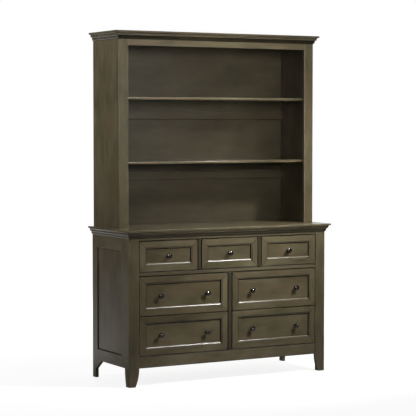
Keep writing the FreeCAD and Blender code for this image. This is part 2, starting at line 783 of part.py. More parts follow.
def grooved_wall(name, thickness, height, length, direction, plane):
    """A drawer wall with the bottom panel's groove; direction is the side that the groove faces."""
    inner = thickness * direction
    floor = inner - size["bottom_groove"] * direction
    groove_base = size["bottom_rise"]
    groove_top = groove_base + groove_width
    return slab(name, [
        (ZERO, ZERO), (inner, ZERO), (inner, groove_base), (floor, groove_base),
        (floor, groove_top), (inner, groove_top), (inner, height), (ZERO, height),
    ], length, plane, reverse=plane == "XZ_Plane")


def drawer_box(space, place_name):
    """Sides, inner front, back and bottom of a drawer."""
    title = f"DrawerBox{place_name.title().replace('_', '')}"
    height = space.box_height
    side = size["box_side"]
    left = grooved_wall(f"{title}Left", side, height, size["box_depth"], 1, "XZ_Plane")
    place(left, space.box_left, frame_back, space.box_base)
    right = grooved_wall(f"{title}Right", side, height, size["box_depth"], -1, "XZ_Plane")
    place(right, space.box_right, frame_back, space.box_base)
    inner_left = space.box_left + side
    inner_right = space.box_right - side
    inner_width = inner_right - inner_left
    inner_front = grooved_wall(f"{title}Front", size["box_front"], height, inner_width, 1, "YZ_Plane")
    place(inner_front, inner_left, frame_back, space.box_base)
    back = grooved_wall(f"{title}Back", side, height, inner_width, -1, "YZ_Plane")
    place(back, inner_left, space.box_rear, space.box_base)
    tongue = size["bottom_groove"] - size["groove_play"]
    base = space.box_base + size["bottom_rise"] + size["groove_side_play"]
    bottom = board(f"{title}Bottom",
                   (inner_left - tongue, frame_back + size["box_front"] - tongue, base),
                   (inner_right + tongue, space.box_rear - side + tongue,
                    base + size["panel_thickness"]))
    group(f"drawer_box_{place_name}", [left, right, inner_front, back, bottom])


def slide_section(reach, half_height, sheet, direction):
    """A C-shaped slide section that opens towards the given direction."""
    flange = reach * direction
    web = sheet * direction
    inner = half_height - sheet
    return [
        (ZERO, -half_height), (flange, -half_height), (flange, -inner), (web, -inner),
        (web, inner), (flange, inner), (flange, half_height), (ZERO, half_height),
    ]


def slide_rail(name, reach, half_height, direction, x, z):
    """One C-shaped rail along Y."""
    rail = slab(name, slide_section(reach, half_height, size["slide_sheet"], direction),
                slide_length, "XZ_Plane", reverse=True)
    place(rail, x, slide_front, z)
    return rail


def slide_pair(space, place_name):
    """The case rails and the drawer rails of one drawer; the case rails are returned."""
    title = place_name.title().replace("_", "")
    outer_half = size["slide_height"] / 2
    inner_half = outer_half - size["slide_sheet"] - size["slide_clearance"]
    fixed = [
        slide_rail(f"CaseRail{title}Left", size["slide_lip"], outer_half, 1, space.left, space.slide_middle),
        slide_rail(f"CaseRail{title}Right", size["slide_lip"], outer_half, -1, space.right,
                   space.slide_middle),
    ]
    moving = [
        slide_rail(f"DrawerRail{title}Left", size["slide_inner_lip"], inner_half, -1, space.box_left,
                   space.slide_middle),
        slide_rail(f"DrawerRail{title}Right", size["slide_inner_lip"], inner_half, 1, space.box_right,
                   space.slide_middle),
    ]
    group(f"drawer_slides_{place_name}", moving)
    return fixed


def knob(name, x, z):
    """A turned mushroom knob, spun about the axis that points out of the drawer."""
    body = new_body(name)
    sketch = new_sketch(body, "XY_Plane")
    neck = size["knob_neck_radius"]
    head = size["knob_radius"]
    underside = size["knob_neck_top"]
    outline(sketch, [
        (ZERO, ZERO), (neck, ZERO), (neck, -underside), (head, -underside),
        (head, -underside - size["knob_rim_band"]), (size["knob_face_radius"], -size["knob_reach"]),
        (ZERO, -size["knob_reach"]),
    ])
    turned = body.newObject("PartDesign::Revolution", f"{name}Turned")
    turned.Profile = sketch
    turned.ReferenceAxis = (sketch, ["V_Axis"])
    turned.Angle = FULL_TURN
    place(body, x, frame_face + size["front_recess"] + size["groove_side_play"], z)
    return body


def drawer_knobs(space, place_name, count):
    """One knob in the middle, or two spread evenly about it."""
    title = place_name.title().replace("_", "")
    offsets = [ZERO] if count == 1 else [-size["knob_spacing"] / 2, size["knob_spacing"] / 2]
    knobs = [knob(f"Knob{title}{number}", space.middle_x + offset, space.front_middle)
             for number, offset in enumerate(offsets, start=1)]
    group(f"drawer_knobs_{place_name}", knobs)


def drawers():
    """All seven drawers with their slides and the packing blocks behind the outer slides."""
    case_rails = []
    blocks = []
    half_block = size["block_height"] / 2
    block_rear = rear_face - size["rear_stile_width"] / 2
    for place_name, row, column, knob_count in DRAWERS:
        space = DrawerSpace(row, column)
        drawer_front(space, place_name)
        drawer_box(space, place_name)
        drawer_knobs(space, place_name, knob_count)
        case_rails += slide_pair(space, place_name)
        low_z = space.slide_middle - half_block
        high_z = space.slide_middle + half_block
        title = place_name.title().replace("_", "")
        if place_name.endswith("left"):
            blocks.append(board(f"Block{title}", (-inner_half_case, post_back, low_z),
                                (-opening_half, block_rear, high_z)))
        elif place_name.endswith("right"):
            blocks.append(board(f"Block{title}", (opening_half, post_back, low_z),
                                (inner_half_case, block_rear, high_z)))
    group("case_slides", case_rails)
    group("slide_blocks", blocks)


# Hutch

def shelf_pin_rows():
    """Front and rear Y of the shelf pins, and the height of the pins under each shelf."""
    fronts = (shelf_front + size["pin_inset"], shelf_rear - size["pin_inset"])
    heights = (size["lower_shelf_base"] - size["pin_radius"], size["upper_shelf_base"] - size["pin_radius"])
    return fronts, heights


def hutch_side(side, label):
    """A hutch side with its rear rabbet, mortises and shelf pin holes."""
    thickness = size["hutch_side"] * -side
    depth = size["hutch_depth"] - size["frame_thickness"]
    overrun = size["cut_overrun"]
    rabbet = thickness + size["hutch_rabbet"] * side
    body = slab(label.title().replace("_", ""), [
        (ZERO, ZERO), (thickness, ZERO), (thickness, depth - size["panel_thickness"]),
        (rabbet, depth - size["panel_thickness"]), (rabbet, depth), (ZERO, depth),
    ], hutch_side_height)
    mortises = new_sketch(body, "XY_Plane")
    local_front = hutch_frame_back
    outer = half_hutch * side
    for low_x, low_y, high_x, high_y in tenon_corners():
        if low_x.value * side > 0:
            outline(mortises, rectangle(low_x - outer, low_y - local_front,
                                        high_x - outer, high_y - local_front))
    pocket(body, mortises, size["tenon_depth"], reverse=True)
    pins = new_sketch(body, "YZ_Plane", thickness - overrun * side)
    pin_depths, pin_heights = shelf_pin_rows()
    for y in pin_depths:
        for z in pin_heights:
            circle(pins, y - local_front, z, size["pin_radius"] + size["pin_clearance"])
    pocket(body, pins, size["pin_depth"] + overrun, reverse=side > 0)
    place(body, outer, local_front, dresser_height)
    return keep(body, label)


def hutch_face_frame():
    """Two front stiles and the top rail between them."""
    stiles = []
    for side, name in ((-1, "HutchStileLeft"), (1, "HutchStileRight")):
        stile = slab(name, eased_board(size["hutch_stile_width"], size["frame_thickness"], side),
                     hutch_side_height)
        place(stile, half_hutch * side, hutch_front, dresser_height)
        stiles.append(stile)
    group("hutch_stiles", stiles)
    rail_half = half_hutch - size["hutch_stile_width"]
    keep(board("HutchTopRail", (-rail_half, hutch_front, crown_base - size["hutch_rail_height"]),
               (rail_half, hutch_frame_back, crown_base)), "hutch_top_rail")


def shelf(label, base):
    """A shelf with a rounded front edge."""
    depth = shelf_rear - shelf_front
    radius = size["shelf_edge_radius"]
    thickness = size["shelf_thickness"]
    half = inner_half_hutch - size["shelf_side_gap"]
    body = slab(label.title().replace("_", ""), [
        (radius, ZERO), (depth, ZERO), (depth, thickness), (radius, thickness, radius, 1),
        (ZERO, thickness - radius), (ZERO, radius, radius, 1),
    ], half * 2, "YZ_Plane")
    place(body, -half, shelf_front, dresser_height + base)
    return keep(body, label)


def shelf_pins():
    """Pins half in the hutch sides and half under the shelves."""
    pins = []
    depths, heights = shelf_pin_rows()
    for side in (-1, 1):
        for y in depths:
            for z in heights:
                pin = doc.addObject("Part::Cylinder", f"ShelfPin{len(pins) + 1}")
                drive(pin, "Radius", size["pin_radius"])
                drive(pin, "Height", size["pin_depth"] * 2)
                low_x = inner_half_hutch * side - size["pin_depth"]
                place(pin, low_x, y, dresser_height + z,
                      FreeCAD.Rotation(FreeCAD.Vector(0, 1, 0), QUARTER_TURN))
                pins.append(pin)
    group("shelf_pins", pins)


def hutch_tenons():
    """Loose tenons that keep the hutch in place on the dresser top."""
    base = dresser_height - size["tenon_depth"]
    top = dresser_height + size["tenon_depth"]
    tenons = [board(f"HutchTenon{number}", (low_x, low_y, base), (high_x, high_y, top))
              for number, (low_x, low_y, high_x, high_y) in enumerate(tenon_corners(), start=1)]
    group("hutch_tenons", tenons)


def hutch_back_rails():
    """The two rails across the hutch back, one below each shelf."""
    front = hutch_back_face - size["back_rail_thickness"]
    rails = []
    for position in ("lower", "upper"):
        base = dresser_height + size[f"{position}_back_rail_base"]
        rails.append(board(f"HutchBackRail{position.title()}", (-inner_half_hutch, front, base),
                           (inner_half_hutch, hutch_back_face, base + size["back_rail_height"])))
    group("hutch_back_rail", rails)


def hutch():
    """The open bookcase that stands on the dresser top."""
    hutch_side(-1, "hutch_side_left")
    hutch_side(1, "hutch_side_right")
    hutch_face_frame()
    back_half = inner_half_hutch + size["hutch_rabbet"]
    keep(board("HutchBack", (-back_half, hutch_back_face, dresser_height),
               (back_half, hutch_rear, crown_base)), "hutch_back")
    hutch_back_rails()
    shelf("shelf_lower", size["lower_shelf_base"])
    shelf("shelf_upper", size["upper_shelf_base"])
    shelf_pins()
    hutch_tenons()
    top_board("hutch_top", half_hutch * 2, hutch_front, hutch_rear, crown_base)
    moulding("crown_moulding", half_hutch * 2, hutch_front, hutch_rear, crown_base)


def dresser():
    """The case of the dresser."""
    for side, word in ((-1, "left"), (1, "right")):
        front_leg(side, f"front_leg_{word}")
        rear_leg(side, f"rear_leg_{word}")
        side_frame(side, f"side_frame_{word}")
        side_panel(side, f"side_panel_{word}")
    front_frame()
    case_inside()
    dresser_top()
    moulding("top_moulding", size["case_width"], front_face, rear_face, case_height)
    drawers()


def check_model():
    """Stop if any object failed or any finished sub-part isn't a sound solid."""
    for item in doc.Objects:
        if "Invalid" in item.State or "Error" in item.State:
            raise RuntimeError(f"{item.Label} did not compute: {item.State}")
    for feature in pockets:
        before = feature.BaseFeature.Shape.Volume
        if not feature.Shape.Volume < before:
            raise RuntimeError(f"{feature.Name} cuts nothing")
    for item in sub_parts:
        if item.Shape.isNull() or not item.Shape.isValid() or not item.Shape.Solids:
            raise RuntimeError(f"{item.Label} has no sound solid")


def export_parts():
    """Write one file for each sub-part."""
    os.makedirs("parts", exist_ok=True)
    for item in sub_parts:
        item.Shape.exportStep(f"parts/{item.Label}.step")


dresser()
hutch()
doc.recompute()
check_model()
export_parts()
print(f"{len(sub_parts)} sub-parts, {sum(len(item.Shape.Solids) for item in sub_parts)} solids")
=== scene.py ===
"""Looks of a seven-drawer dresser with an open bookcase hutch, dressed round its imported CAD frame."""
import json
import math
import random

import bmesh
import bpy
from mathutils import Matrix, Vector

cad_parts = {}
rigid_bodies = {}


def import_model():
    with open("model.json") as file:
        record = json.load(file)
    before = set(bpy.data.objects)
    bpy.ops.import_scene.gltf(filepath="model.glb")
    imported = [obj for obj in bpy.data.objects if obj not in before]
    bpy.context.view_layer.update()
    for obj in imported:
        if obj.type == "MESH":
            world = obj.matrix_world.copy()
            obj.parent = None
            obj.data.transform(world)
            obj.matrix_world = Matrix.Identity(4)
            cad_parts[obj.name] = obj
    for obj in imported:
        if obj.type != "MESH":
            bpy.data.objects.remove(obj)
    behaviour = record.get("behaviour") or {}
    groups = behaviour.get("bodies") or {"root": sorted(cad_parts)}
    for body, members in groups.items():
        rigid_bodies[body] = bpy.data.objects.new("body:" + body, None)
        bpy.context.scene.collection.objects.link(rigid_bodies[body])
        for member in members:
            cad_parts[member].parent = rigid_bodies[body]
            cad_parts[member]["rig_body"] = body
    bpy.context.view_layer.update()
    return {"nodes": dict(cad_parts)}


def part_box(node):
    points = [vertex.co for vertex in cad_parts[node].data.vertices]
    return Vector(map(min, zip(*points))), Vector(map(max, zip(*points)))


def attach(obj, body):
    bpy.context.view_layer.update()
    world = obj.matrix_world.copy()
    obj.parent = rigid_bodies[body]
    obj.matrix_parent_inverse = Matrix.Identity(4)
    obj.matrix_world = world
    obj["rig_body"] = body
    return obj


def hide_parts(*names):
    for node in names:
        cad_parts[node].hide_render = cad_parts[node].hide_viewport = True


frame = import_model()

bl_info = {
    "name": "Dresser with hutch",
    "version": (1, 0, 0),
    "blender": (4, 5, 0),
    "location": "View3D > Sidebar > Dresser",
    "description": "Dresses the packed frame of a dresser and its bookcase hutch",
    "category": "Object",
}

MM = 0.001
DRAWERS = ("upper_left", "upper_middle", "upper_right", "middle_left", "middle_right",
           "lower_left", "lower_right")
AXES = {"X": 0, "Y": 1, "Z": 2}
GRAIN = "grain"
TONE = "tone"
# Places of the materials on a piece: its faces, its eased edges, and the faces that take painted shade.
FACE, EDGE, HOLLOW = 0, 1, 2
# Directions that boards run in.
RIGHT, LEFT = (1, 0, 0), (-1, 0, 0)
REARWARD, FORWARD = (0, 1, 0), (0, -1, 0)
UP, DOWN = (0, 0, 1), (0, 0, -1)


def linear(code):
    """The linear colour of an sRGB hex code."""
    parts = [int(code[place:place + 2], 16) / 255 for place in (1, 3, 5)]
    return tuple(part / 12.92 if part <= 0.04045 else ((part + 0.055) / 1.055) ** 2.4 for part in parts)


# Settings that a user would change

class DresserFinishSettings(bpy.types.PropertyGroup):
    """Colours and pattern sizes of the finishes."""
    stain_dark: bpy.props.FloatVectorProperty(
        name="Dark grain", description="Stain where the wood drinks most of it", subtype="COLOR",
        default=linear("#3f3928"))
    stain_middle: bpy.props.FloatVectorProperty(
        name="Stain", description="Main colour of the stained wood", subtype="COLOR",
        default=linear("#544d39"))
    stain_light: bpy.props.FloatVectorProperty(
        name="Light grain", description="Stain over hard, dense wood", subtype="COLOR",
        default=linear("#665e48"))
    # Worn stain on the eased edges, lighter than wear alone, as a painted highlight.
    edge_wear_and_highlight: bpy.props.FloatVectorProperty(
        name="Worn and highlit edge", description="Stain worn thin on the eased edges, lighter as a painted highlight", subtype="COLOR",
        default=linear("#8c836e"))
    stain_warm: bpy.props.FloatVectorProperty(
        name="Warm patches", description="Where the brown of the bare wood shows through the stain",
        subtype="COLOR", default=linear("#5c4d39"))
    # Colour of the shade painted into gaps, hollows and boards that sit in shade.
    glaze: bpy.props.FloatVectorProperty(
        name="Painted shade", description="Dark shade painted into the gaps and the hollows", subtype="COLOR",
        default=linear("#1e1a10"))
    inner_dark: bpy.props.FloatVectorProperty(
        name="Inner wood, dark", description="Late wood of the unstained drawer boards",
        subtype="COLOR", default=linear("#a98a5f"))
    inner_light: bpy.props.FloatVectorProperty(
        name="Inner wood, light", description="Early wood of the unstained drawer boards",
        subtype="COLOR", default=linear("#d0b48a"))
    knob_colour: bpy.props.FloatVectorProperty(
        name="Knob metal", description="Blackened metal of the knobs", subtype="COLOR",
        default=linear("#55534f"))
    knob_rubbed: bpy.props.FloatVectorProperty(
        name="Rubbed knob metal", description="Where hands have rubbed the knobs brighter",
        subtype="COLOR", default=linear("#7a7771"))
    slide_colour: bpy.props.FloatVectorProperty(
        name="Slide steel", description="Zinc-plated steel of the slides", subtype="COLOR",
        default=linear("#b9bcbd"))
    slide_dark: bpy.props.FloatVectorProperty(
        name="Rolling lines", description="Darker lines along the slides", subtype="COLOR",
        default=linear("#8f9395"))
    figure_width: bpy.props.FloatProperty(
        name="Figure width", description="Width of one band of the wood's figure", unit="LENGTH",
        default=28 * MM)
    streak_width: bpy.props.FloatProperty(
        name="Streak width", description="Width of one dark streak between the bands",
        unit="LENGTH", default=5 * MM)
    pore_width: bpy.props.FloatProperty(
        name="Pore width", description="Width of one open pore", unit="LENGTH", default=0.9 * MM)


class DresserSizeSettings(bpy.types.PropertyGroup):
    """Sizes of the pieces that stand for CAD nodes, and of the eased edges."""
    edge_ease: bpy.props.FloatProperty(
        name="Eased edge", description="Rounding of every sawn edge", unit="LENGTH", default=1.0 * MM)
    frame_width: bpy.props.FloatProperty(
        name="Drawer frame", description="Flat face of a drawer front's frame", unit="LENGTH",
        default=35 * MM)
    bevel_width: bpy.props.FloatProperty(
        name="Drawer bevel", description="Bevel from that frame down to the panel", unit="LENGTH",
        default=12 * MM)
    front_play: bpy.props.FloatProperty(
        name="Front play", description="Trimmed off each outer edge of a drawer front", unit="LENGTH",
        default=0.6 * MM)
    quirk: bpy.props.FloatProperty(
        name="Quirk", description="Upright step at the bevel's outer edge", unit="LENGTH",
        default=2 * MM)
    hollow_radius: bpy.props.FloatProperty(
        name="Bevel hollow", description="Radius of the hollow in that bevel", unit="LENGTH",
        default=14 * MM)
    recess: bpy.props.FloatProperty(
        name="Panel recess", description="Panel of a drawer front behind its frame", unit="LENGTH",
        default=9 * MM)
    thin_board: bpy.props.FloatProperty(
        name="Thin board", description="Thickness of panels and drawer bottoms", unit="LENGTH",
        default=6 * MM)
    groove_play: bpy.props.FloatProperty(
        name="Groove play", description="Free space on each face of a panel", unit="LENGTH",
        default=0.2 * MM)
    panel_tongue: bpy.props.FloatProperty(
        name="Panel tongue", description="How far a panel enters its groove", unit="LENGTH",
        default=7 * MM)
    groove_depth: bpy.props.FloatProperty(
        name="Groove depth", description="Depth of a panel groove", unit="LENGTH", default=8 * MM)


# Boards with their own grain

def arc_points(start, end, radius, turn, steps=8):
    """Points of an arc between two points, without the last; turn +1 bulges to the right of the way."""
    start, end = Vector(start), Vector(end)
    along = end - start
    to_left = Vector((-along.y, along.x)).normalized()
    centre = (start + end) / 2 + to_left * turn * math.sqrt(radius ** 2 - (along.length / 2) ** 2)
    first, last = start - centre, end - centre
    sweep = math.atan2(first.x * last.y - first.y * last.x, first.dot(last))
    spin = [Matrix.Rotation(sweep * step / steps, 2) for step in range(steps)]
    return [tuple(centre + turned @ first) for turned in spin]


class Boards:
    """Boards gathered into one mesh, each with its own run of grain and its own tone."""

    def __init__(self, seed):
        self.chance = random.Random(seed)
        self.points, self.faces, self.slots, self.grain, self.tone = [], [], [], [], []

    def add(self, points, faces, along, hollows=()):
        """Add one closed board, grain along a named axis; hollows number its faces in painted shade."""
        first = len(self.points)
        turn = AXES[along]
        shift = Vector([self.chance.uniform(-3, 3) for _ in range(3)])
        tone = self.chance.uniform(-1, 1)
        for point in points:
            self.points.append(tuple(point))
            self.grain.append(Vector((point[turn], point[(turn + 1) % 3], point[(turn + 2) % 3])) + shift)
            self.tone.append(tone)
        self.faces += [[first + corner for corner in face] for face in faces]
        self.slots += [HOLLOW if at in hollows else FACE for at in range(len(faces))]

    def board(self, low, high, along):
        """A plain board between two corners."""
        low, high = Vector(low), Vector(high)
        points = [(x, y, z) for x in (low.x, high.x) for y in (low.y, high.y) for z in (low.z, high.z)]
        faces = [(0, 1, 3, 2), (4, 6, 7, 5), (0, 4, 5, 1), (2, 3, 7, 6), (0, 2, 6, 4), (1, 5, 7, 3)]
        self.add(points, faces, along)

    def bar(self, section, length, origin, axes, along, mitres=(), hollows=()):
        """A bar with its section in the plane of its last two axes, mitred at the named ends."""
        count = len(section)
        run, back, inward = (Vector(axis) for axis in axes)
        points = []
        for y, z in section:
            start = z if "start" in mitres else 0
            points.append(Vector(origin) + run * start + back * y + inward * z)
        for y, z in section:
            end = length - z if "end" in mitres else length
            points.append(Vector(origin) + run * end + back * y + inward * z)
        faces = [(at, (at + 1) % count, (at + 1) % count + count, at + count) for at in range(count)]
        faces += [tuple(reversed(range(count))), tuple(range(count, 2 * count))]
        self.add(points, faces, along, hollows)

    def piece(self, name, sharp_angle=math.radians(30)):
        """Make the mesh object."""
        mesh = bpy.data.meshes.new(name)
        mesh.from_pydata(self.points, [], self.faces)
        mesh.polygons.foreach_set("material_index", self.slots)
        grain = mesh.attributes.new(GRAIN, "FLOAT_VECTOR", "POINT")
        grain.data.foreach_set("vector", [part for run in self.grain for part in run])
        tone = mesh.attributes.new(TONE, "FLOAT", "POINT")
        tone.data.foreach_set("value", self.tone)
        edit = bmesh.new()
        edit.from_mesh(mesh)
        bmesh.ops.recalc_face_normals(edit, faces=edit.faces)
        edit.to_mesh(mesh)
        edit.free()
        mesh.shade_smooth()
        mesh.set_sharp_from_angle(angle=sharp_angle)
        made = bpy.data.objects.new(name, mesh)
        bpy.context.scene.collection.objects.link(made)
        return made


def ease_edges(piece, width, from_cad=False):
    """Round the sawn edges; a CAD node's split triangles are joined into whole faces first."""
    flat_angle, sawn_angle = math.radians(1), math.radians(40)
    if from_cad:
        weld = piece.modifiers.new("Join", "WELD")
        weld.merge_threshold = 0.01 * MM
        flat = piece.modifiers.new("Whole faces", "DECIMATE")
        flat.decimate_type = "DISSOLVE"
        flat.angle_limit = flat_angle
        flat.delimit = {"SHARP"}
    ease = piece.modifiers.new("Eased edges", "BEVEL")
    ease.width = width
    ease.segments = 2
    ease.limit_method = "ANGLE"
    ease.angle_limit = sawn_angle
    ease.harden_normals = True
    ease.material = EDGE
    ease.use_clamp_overlap = True


# Materials

# Places of the inputs of a Map Range node.
FROM_LOW, FROM_HIGH, TO_LOW, TO_HIGH = 1, 2, 3, 4
# Roughness of the satin lacquer, and of the parts that shine less or more.
SATIN = 0.28
PAINTED_SHADE_ROUGHNESS = {"glazed edge": 0.68, "glazed hollow": 0.18}


def add_node(tree, kind, settings=(), links=()):
    """Add one node; settings go to its own properties or inputs, links give (input, socket)."""
    node = tree.nodes.new(kind)
    for key, value in dict(settings).items():
        if isinstance(key, str) and hasattr(node, key):
            setattr(node, key, value)
        else:
            node.inputs[key].default_value = value
    for key, socket in dict(links).items():
        tree.links.new(socket, node.inputs[key])
    return node


def new_material(name):
    """An empty material with its tree and shader."""
    material = bpy.data.materials.new(name)
    material.use_nodes = True
    return material, material.node_tree, material.node_tree.nodes["Principled BSDF"]


def grain_run(tree, along):
    """Coordinates in metres with X along the grain: from the board's attribute, or from the object."""
    if along == "board":
        return add_node(tree, "ShaderNodeAttribute", {"attribute_name": GRAIN}).outputs["Vector"]
    place = add_node(tree, "ShaderNodeTexCoord").outputs["Object"]
    split = add_node(tree, "ShaderNodeSeparateXYZ", links={0: place})
    turn = AXES[along]
    order = [split.outputs[(turn + step) % 3] for step in range(3)]
    return add_node(tree, "ShaderNodeCombineXYZ", links=dict(enumerate(order))).outputs[0]


def board_tone(tree, along):
    """How much lighter or darker a board is than the next one, from -1 to 1."""
    if along == "board":
        return add_node(tree, "ShaderNodeAttribute", {"attribute_name": TONE}).outputs["Fac"]
    chance = add_node(tree, "ShaderNodeObjectInfo").outputs["Random"]
    return add_node(tree, "ShaderNodeMapRange", {TO_LOW: -1.0, TO_HIGH: 1.0}, {0: chance}).outputs[0]


def stretched_noise(tree, run, length, width, detail):
    """Noise whose grains have a real length along the wood and a real width across it."""
    scale = (1 / length, 1 / width, 1 / width)
    stretched = add_node(tree, "ShaderNodeVectorMath", {"operation": "MULTIPLY", 1: scale}, {0: run})
    noise = add_node(tree, "ShaderNodeTexNoise", {"Scale": 1.0, "Detail": detail, "Roughness": 0.55},
                     {"Vector": stretched.outputs[0]})
    return noise.outputs[0]


def mixed(tree, share, first, second):
    """A colour mixed by a share; first and second are sockets or colours."""
    mix = add_node(tree, "ShaderNodeMix", {"data_type": "RGBA"})
    tree.links.new(share, mix.inputs[0])
    for key, value in ((6, first), (7, second)):
        if isinstance(value, bpy.types.NodeSocket):
            tree.links.new(value, mix.inputs[key])
        else:
            mix.inputs[key].default_value = (*value, 1)
    return mix.outputs[2]


def summed(tree, terms):
    """The sum of sockets, each times its weight."""
    total = None
    for socket, weight in terms:
        node = add_node(tree, "ShaderNodeMath", {"operation": "MULTIPLY_ADD", 1: weight, 2: 0.0},
                        {0: socket})
        if total is not None:
            tree.links.new(total, node.inputs[2])
        total = node.outputs[0]
    return total


def stained_wood(along, part=""):
    """Poplar, planed, with a grey-brown penetrating stain under sprayed satin lacquer.

    It gives the eye soft clouds and streaks that run with the board, under an even sheen. The parts
    of a piece differ: stain worn thin, lighter as a painted highlight, on a worn edge; painted shade
    as dark matt colour on a shaded edge; painted shade under lacquer in a shaded hollow; and a film
    of painted shade over a whole board that sits in shade.
    """
    look = bpy.context.scene.dresser_finish
    name = f"Stained poplar, grain {along}" + (f", {part}" if part else "")
    if name in bpy.data.materials:
        return bpy.data.materials[name]
    material, tree, shader = new_material(name)
    run = grain_run(tree, along)
    # Each pattern's length along the grain and its width across it, from the two real widths.
    figure_width = look.figure_width
    rings = stretched_noise(tree, run, figure_width * 22, figure_width * 2.4, 2.0)
    ring_waves = 26.0
    wave = add_node(tree, "ShaderNodeMath", {"operation": "MULTIPLY", 1: ring_waves}, {0: rings})
    figure = add_node(tree, "ShaderNodeMath", {"operation": "SINE"}, {0: wave.outputs[0]}).outputs[0]
    streaks = stretched_noise(tree, run, look.streak_width * 40, look.streak_width, 4.0)
    mottle = stretched_noise(tree, run, figure_width * 4, figure_width, 1.0)
    clouds = stretched_noise(tree, run, figure_width * 9, figure_width * 5, 3.0)
    # A real pore is about 0.1 mm wide; it is drawn coarser, as wide as it needs to be to show.
    pores = stretched_noise(tree, run, look.pore_width * 30, look.pore_width, 1.0)
    # The wide patterns weigh most, as under a penetrating stain.
    share = summed(tree, [(figure, 0.03), (streaks, 0.25), (mottle, 0.7), (clouds, 1.7),
                          (board_tone(tree, along), 0.06)])
    ramp = add_node(tree, "ShaderNodeMapRange", {FROM_LOW: 0.82, FROM_HIGH: 1.82}, {0: share}).outputs[0]
    colours = add_node(tree, "ShaderNodeValToRGB", links={0: ramp})
    stops = colours.color_ramp.elements
    stops[0].color = (*look.stain_dark, 1)
    stops[1].color = (*look.stain_light, 1)
    middle = stops.new(0.5)
    middle.color = (*look.stain_middle, 1)
    warmth = stretched_noise(tree, run, figure_width * 7, figure_width * 3, 2.0)
    warm = add_node(tree, "ShaderNodeMapRange", {FROM_LOW: 0.45, FROM_HIGH: 0.7, TO_HIGH: 0.6}, {0: warmth})
    colour = mixed(tree, warm.outputs[0], colours.outputs[0], look.stain_warm)
    # Painted shade: shaded edges and hollows take a dark colour in place of the stain.
    if part.startswith("glazed"):
        thin = add_node(tree, "ShaderNodeMapRange", {FROM_LOW: 0.4, FROM_HIGH: 0.7, TO_HIGH: 0.3},
                        {0: warmth})
        colour = mixed(tree, thin.outputs[0], look.glaze, look.stain_dark)
    # Painted shade: a dark film over a whole board that sits in shade.
    elif part == "dark board":
        film = add_node(tree, "ShaderNodeMapRange",
                        {FROM_LOW: 0.3, FROM_HIGH: 0.7, TO_LOW: 0.62, TO_HIGH: 0.74}, {0: warmth})
        colour = mixed(tree, film.outputs[0], colour, look.glaze)
    # Worn stain on the edge, lighter than wear alone as a painted highlight along it.
    elif part == "worn and highlit edge":
        worn = add_node(tree, "ShaderNodeMapRange",
                        {FROM_LOW: 0.35, FROM_HIGH: 0.65, TO_LOW: 0.2, TO_HIGH: 0.8}, {0: streaks})
        colour = mixed(tree, worn.outputs[0], colour, look.edge_wear_and_highlight)
    open_pores = add_node(tree, "ShaderNodeMapRange",
                          {FROM_LOW: 0.62, FROM_HIGH: 0.72, TO_HIGH: 0.15}, {0: pores})
    colour = mixed(tree, open_pores.outputs[0], colour, look.stain_dark)
    tree.links.new(colour, shader.inputs["Base Color"])
    shader.inputs["Roughness"].default_value = PAINTED_SHADE_ROUGHNESS.get(part, SATIN)
    height = summed(tree, [(streaks, 0.5), (open_pores.outputs[0], -0.6)])
    bump = add_node(tree, "ShaderNodeBump", {"Strength": 0.1, "Distance": 0.03 * MM}, {"Height": height})
    tree.links.new(bump.outputs[0], shader.inputs["Normal"])
    return material


def drawer_wood(along):
    """Planed poplar of the drawer boxes under thin clear lacquer: pale, with quiet brown bands."""
    look = bpy.context.scene.dresser_finish
    name = f"Clear poplar, grain {along}"
    if name in bpy.data.materials:
        return bpy.data.materials[name]
    material, tree, shader = new_material(name)
    run = grain_run(tree, along)
    bands = stretched_noise(tree, run, look.figure_width * 20, look.figure_width, 3.0)
    streaks = stretched_noise(tree, run, look.streak_width * 50, look.streak_width / 2, 3.0)
    share = summed(tree, [(bands, 0.9), (streaks, 0.5), (board_tone(tree, along), 0.08)])
    ramp = add_node(tree, "ShaderNodeMapRange", {FROM_LOW: 0.45, FROM_HIGH: 0.95}, {0: share}).outputs[0]
    tree.links.new(mixed(tree, ramp, look.inner_dark, look.inner_light), shader.inputs["Base Color"])
    gloss = add_node(tree, "ShaderNodeMapRange",
                     {FROM_LOW: 0.3, FROM_HIGH: 0.7, TO_LOW: 0.42, TO_HIGH: 0.6}, {0: streaks})
    tree.links.new(gloss.outputs[0], shader.inputs["Roughness"])
    bump = add_node(tree, "ShaderNodeBump", {"Strength": 0.3, "Distance": 0.15 * MM}, {"Height": streaks})
    tree.links.new(bump.outputs[0], shader.inputs["Normal"])
    return material


def blackened_metal():
    """Cast zinc with a blackened, oiled finish: nearly black, rubbed a little brighter in patches."""
    look = bpy.context.scene.dresser_finish
    material, tree, shader = new_material("Blackened zinc")
    place = add_node(tree, "ShaderNodeTexCoord").outputs["Object"]
    # Cast grains of about 1.5 mm under rubbed patches of about 12 mm.
    grain = add_node(tree, "ShaderNodeTexNoise", {"Scale": 1 / (1.5 * MM), "Detail": 2.0}, {"Vector": place})
    patches = add_node(tree, "ShaderNodeTexNoise", {"Scale": 1 / (12 * MM), "Detail": 2.0}, {"Vector": place})
    rubbed = add_node(tree, "ShaderNodeMapRange", {FROM_LOW: 0.4, FROM_HIGH: 0.7, TO_HIGH: 0.5},
                      {0: patches.outputs[0]})
    colour = mixed(tree, rubbed.outputs[0], look.knob_colour, look.knob_rubbed)
    tree.links.new(colour, shader.inputs["Base Color"])
    shader.inputs["Metallic"].default_value = 1.0
    gloss = add_node(tree, "ShaderNodeMapRange",
                     {FROM_LOW: 0.3, FROM_HIGH: 0.7, TO_LOW: 0.14, TO_HIGH: 0.2}, {0: grain.outputs[0]})
    tree.links.new(gloss.outputs[0], shader.inputs["Roughness"])
    bump = add_node(tree, "ShaderNodeBump", {"Strength": 0.2, "Distance": 0.02 * MM},
                    {"Height": grain.outputs[0]})
    tree.links.new(bump.outputs[0], shader.inputs["Normal"])
    return material


